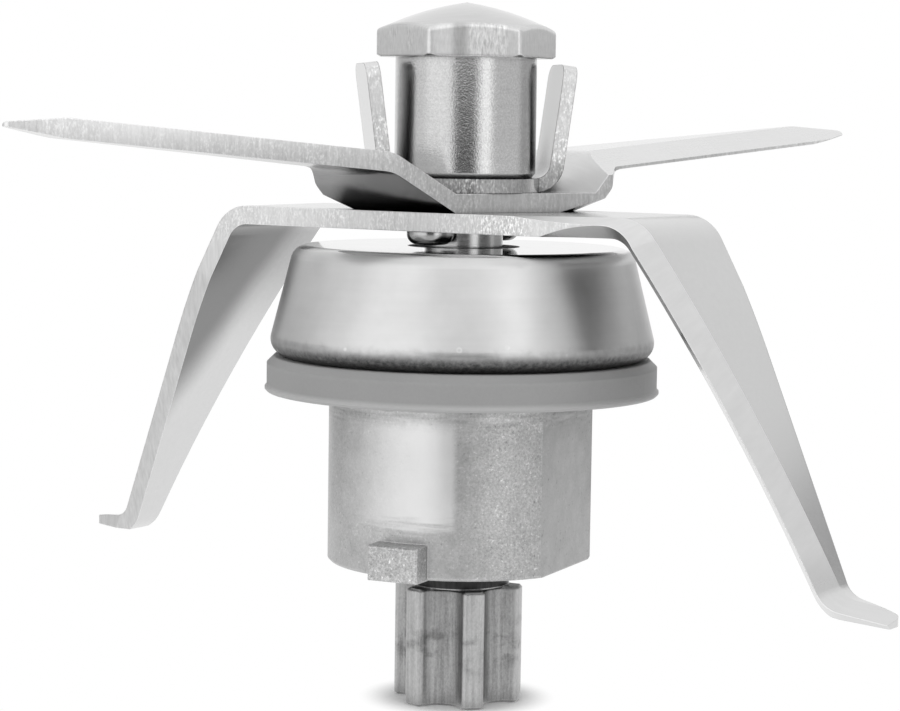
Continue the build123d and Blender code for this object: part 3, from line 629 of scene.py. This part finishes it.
class BLADE_OT_shaft(bpy.types.Operator):
    """Finishes the shaft and the rivets in turned steel"""

    bl_idname = "blade.shaft"
    bl_label = "Shaft and Rivets"

    def execute(self, context):
        _, greys = settings()
        f = Finish("shaft_steel")
        rings = f.noise(f.round_about(1500.0, 2.0, 3000.0), 1.0, 3.0)
        cloud = f.noise(f.place, 400.0, 3.0)
        rounded = f.edges(greys.edge_round)
        base = rings * 0.12 + cloud * 0.08 + (greys.turned_grey - 0.14)
        f.close(base, rings * 0.12 + 0.14, f.bump(rings, 0.00004, 0.25, rounded))
        shade(f.material, "shaft", "blade_rivets")
        return {"FINISHED"}


class BLADE_OT_driver(bpy.types.Operator):
    """Finishes the driver in machined steel with stains, painted light on the tooth crowns and
    painted shade in the valleys and at the neck
    """

    bl_idname = "blade.driver"
    bl_label = "Driver"

    def execute(self, context):
        _, greys = settings()
        f = Finish("driver_steel")
        drawn = f.noise(f.turned(0.0, (2200.0, 2200.0, 110.0)), 1.0, 3.0)
        grit = f.noise(f.turned(0.0, (4200.0, 4200.0, 2400.0)), 1.0, 2.0, 0.7)
        stain = f.step(f.noise(f.turned(0.0, (300.0, 300.0, 480.0)), 1.0, 4.0), 0.46, 0.66)
        band = f.band(f.z, *DRIVER_STAINS, 0.0018)
        radius = f.radius()
        crown = f.step(radius, *TOOTH_CROWN)
        valley = f.step(radius, *TOOTH_VALLEY)
        rounded = f.edges(BROKEN_EDGE)
        wear_and_glint = f.edge_mask(rounded)
        shadow = f.step(f.crevice(0.0030), 0.25, 0.95, 0.40, 1.0)
        # painted shade: nearly black above the neck, in the gap under the housing
        shadow = shadow * f.step(f.z, *DRIVER_NECK, 0.12, 1.0)
        tone = (drawn - 0.5) * 0.36 + (grit - 0.5) * 0.24
        # painted light on the tooth crowns, painted shade in the valleys
        tone = tone + crown * 0.10 - valley * 0.04 - stain * band * 0.14
        # edges paler from wear and a painted glint
        base = (tone + wear_and_glint * 0.22 + greys.driver_grey) * shadow
        rough = drawn * 0.14 + 0.26 + stain * 0.08
        f.close(base, rough, f.bump(drawn * 0.7 + grit * 0.5, 0.00005, 0.3, rounded))
        shade(f.material, "driver")
        return {"FINISHED"}


class BLADE_OT_housing(bpy.types.Operator):
    """Finishes the housing in satin cast alloy with a mottle, tool marks and a painted highlight on
    one side
    """

    bl_idname = "blade.housing"
    bl_label = "Housing"

    def execute(self, context):
        _, greys = settings()
        f = Finish("housing_alloy")
        mottle = f.noise(f.place, 420.0, 4.0, 0.65)
        cloud = f.noise(f.place, 80.0, 2.0)
        grit = f.noise(f.place, 3300.0, 3.0, 0.75)
        glint = f.step(f.noise(f.place, 2500.0, 2.0, 0.7), 0.60, 0.70)
        pits = f.step(f.noise(f.place, 1900.0, 2.0, 0.7), 0.40, 0.26)
        tool = f.noise(f.round_about(1900.0, 3.0, 1900.0), 1.0, 2.0)
        ragged = (mottle - 0.5) * 0.5 + (f.noise(f.place, 1500.0, 2.0) - 0.5) * 0.3
        angle = f.angle()
        # painted highlight: a ragged patch on one side, paler and with its grain hidden
        highlight_patch = f.step(angle + ragged * 0.35, *PATCH_LEFT)
        highlight_patch = highlight_patch * f.step(angle + ragged * 0.06, *PATCH_RIGHT)
        highlight_patch = highlight_patch * f.step(f.z + (tool - 0.5) * 0.005, *PATCH_FOOT)
        highlight_patch = highlight_patch * f.step(f.z + ragged * 0.003, *PATCH_TOP)
        painted_highlight = highlight_patch * f.step(angle, *PATCH_SHEEN, 0.35, 1.0) * (cloud * 0.4 + 0.8)
        near_top = f.step(f.z, *HOUSING_TOP)
        coarse = f.band(angle, *COARSE_SIDE, 0.16) * 0.7 + 0.75
        lug = f.step(f.radius(), *LUG_FRONT) * f.step(f.z, *LUG_TOP)
        flat = f.step(f.facing(0.0), 0.985, 0.995) * (1 - lug)
        coarse = (coarse + lug * 1.2) * (1 - painted_highlight) * (1 - flat * 0.6)
        rounded = f.edges(BROKEN_EDGE)
        wear_and_glint = f.edge_mask(rounded)
        shadow = f.step(f.crevice(0.0025), 0.15, 0.75, 0.35, 1.0)
        tone = (mottle - 0.5) * 0.24 + (cloud - 0.5) * 0.16 + (tool - 0.5) * near_top * 0.50
        sparkle = ((grit - 0.5) * 0.50 + glint * 0.16) * coarse * (mottle + 0.4)
        tone = tone * (1 - painted_highlight * 0.7) + sparkle - pits * 0.12 * (1 - painted_highlight)
        # edges paler from wear and a painted glint
        base = (tone + painted_highlight * 0.26 - flat * 0.06 + wear_and_glint * 0.16 + greys.housing_grey) * shadow
        rough = mottle * 0.16 + 0.24 + coarse * 0.08
        height = mottle * 0.4 - pits * 0.4 + tool * near_top * 0.6 + grit * coarse * 0.8
        f.close(base, rough, f.bump(height, 0.00006, 0.3, rounded))
        shade(f.material, "housing")
        return {"FINISHED"}


class BLADE_OT_dome(bpy.types.Operator):
    """Finishes the dome in spun satin steel, darker in a ragged band along the rolled rim"""

    bl_idname = "blade.dome"
    bl_label = "Dome"

    def execute(self, context):
        _, greys = settings()
        f = Finish("dome_steel")
        spun = f.noise(f.round_about(1300.0, 2.0, 1300.0), 1.0, 2.0)
        cloud = f.noise(f.place, 90.0, 3.0)
        haze = f.noise(f.place, 260.0, 3.0)
        rim = f.step(f.z, *DOME_RIM)
        # darker in a ragged band along the rim
        dark_band = f.step(f.noise(f.place, 700.0, 3.0) * 0.0016 + f.z, *DOME_DARK_BAND)
        spots = f.specks(f.place, 420.0)
        low = f.band(f.z, *DOME_DROPS, 0.0006) * f.step(f.noise(f.place, 200.0), 0.44, 0.60)
        drop = f.band(spots, 0.10, 0.17, 0.03) * low
        rounded = f.edges(greys.edge_round)
        tone = (spun - 0.5) * 0.04 + (cloud - 0.5) * 0.18 + (haze - 0.5) * 0.08 + greys.dome_grey
        flecks = (f.noise(f.place, 1700.0, 3.0, 0.7) - 0.5) * rim * 0.9
        base = tone * (1 - dark_band * 0.42) * (1 - rim * 0.66 + flecks) + drop * 0.14
        top = f.step(f.z, *DOME_TOP)
        rough = f.mix(top, cloud * 0.10 + 0.30 + rim * 0.10, 0.06)
        f.close(base, rough, f.bump(spun + drop * 2.0, 0.00002, 0.15, rounded))
        shade(f.material, "dome")
        return {"FINISHED"}


class BLADE_OT_seal_ring(bpy.types.Operator):
    """Finishes the sealing ring in matt grey silicone, with painted light on the lip and the top
    edge
    """

    bl_idname = "blade.seal_ring"
    bl_label = "Sealing Ring"

    def execute(self, context):
        _, greys = settings()
        f = Finish("seal_silicone")
        cloud = f.noise(f.place, 120.0, 3.0)
        grain = f.noise(f.place, 3000.0, 2.0)
        rounded = f.edges(SEAL_EDGE)
        # painted light: paler lip and top edge, where light catches the ring
        lip = f.step(f.z, *SEAL_LIP) * 0.14 + f.step(f.z, *SEAL_TOP) * 0.05
        base = cloud * 0.05 + grain * 0.03 + lip + (greys.seal_grey - 0.06)
        f.close(base, cloud * 0.1 + 0.52, f.bump(grain, 0.00004, 0.25, rounded), 0.0)
        shade(f.material, "seal_ring")
        return {"FINISHED"}


class BLADE_OT_bearings(bpy.types.Operator):
    """Finishes the bearings, clips, spacer and seal metal in ground steel"""

    bl_idname = "blade.bearings"
    bl_label = "Bearings"

    def execute(self, context):
        _, greys = settings()
        f = Finish("bearing_steel")
        rings = f.noise(f.round_about(2400.0, 2.0, 2400.0), 1.0, 3.0)
        cloud = f.noise(f.place, 300.0, 3.0)
        base = rings * 0.08 + cloud * 0.06 + (greys.bearing_grey - 0.07)
        rounded = f.edges(greys.edge_round)
        f.close(base, rings * 0.1 + 0.16, f.bump(rings, 0.00003, 0.2, rounded))
        names = ["bearing_spacer", "shaft_circlip", "bore_circlip", "preload_washer",
                 "shaft_seal_case", "seal_garter_spring"]
        for level in ("upper", "lower"):
            names += [level + end for end in (
                "_inner_race", "_outer_race", "_balls", "_cage", "_bearing_shields")]
        shade(f.material, *names)
        return {"FINISHED"}


class BLADE_OT_rubber(bpy.types.Operator):
    """Finishes the dome's ring and the shaft seal's lip in black rubber"""

    bl_idname = "blade.rubber"
    bl_label = "Black Rubber"

    def execute(self, context):
        _, greys = settings()
        f = Finish("black_rubber")
        grain = f.noise(f.place, 2600.0, 3.0)
        base = grain * 0.02 + (greys.rubber_grey - 0.01)
        rounded = f.edges(greys.edge_round)
        f.close(base, grain * 0.15 + 0.45, f.bump(grain, 0.00004, 0.3, rounded), 0.0)
        shade(f.material, "dome_o_ring", "shaft_seal_lip")
        return {"FINISHED"}


class BLADE_PT_panel(bpy.types.Panel):
    """Lists the blade assembly's operators and settings"""

    bl_idname = "BLADE_PT_panel"
    bl_label = "Blade Assembly"
    bl_space_type = "VIEW_3D"
    bl_region_type = "UI"
    bl_category = "Blade Assembly"

    def draw(self, context):
        for group in settings():
            box = self.layout.box()
            for name in group.__annotations__:
                box.prop(group, name)
        for operator in OPERATORS:
            self.layout.operator(operator.bl_idname)


OPERATORS = (
    BLADE_OT_stage,
    BLADE_OT_cap_nut,
    BLADE_OT_tab_plate,
    BLADE_OT_upper_blade,
    BLADE_OT_lower_blade,
    BLADE_OT_shaft,
    BLADE_OT_driver,
    BLADE_OT_housing,
    BLADE_OT_dome,
    BLADE_OT_seal_ring,
    BLADE_OT_bearings,
    BLADE_OT_rubber,
)
CLASSES = (StageSettings, FinishSettings) + OPERATORS + (BLADE_PT_panel,)


def register():
    for cls in CLASSES:
        bpy.utils.register_class(cls)
    bpy.types.Scene.blade_stage = bpy.props.PointerProperty(type=StageSettings)
    bpy.types.Scene.blade_finish = bpy.props.PointerProperty(type=FinishSettings)


def unregister():
    del bpy.types.Scene.blade_finish
    del bpy.types.Scene.blade_stage
    for cls in reversed(CLASSES):
        bpy.utils.unregister_class(cls)


def main():
    register()
    bpy.ops.blade.stage()
    bpy.ops.blade.cap_nut()
    bpy.ops.blade.tab_plate()
    bpy.ops.blade.upper_blade()
    bpy.ops.blade.lower_blade()
    bpy.ops.blade.shaft()
    bpy.ops.blade.driver()
    bpy.ops.blade.housing()
    bpy.ops.blade.dome()
    bpy.ops.blade.seal_ring()
    bpy.ops.blade.bearings()
    bpy.ops.blade.rubber()


if __name__ == "__main__":
    main()
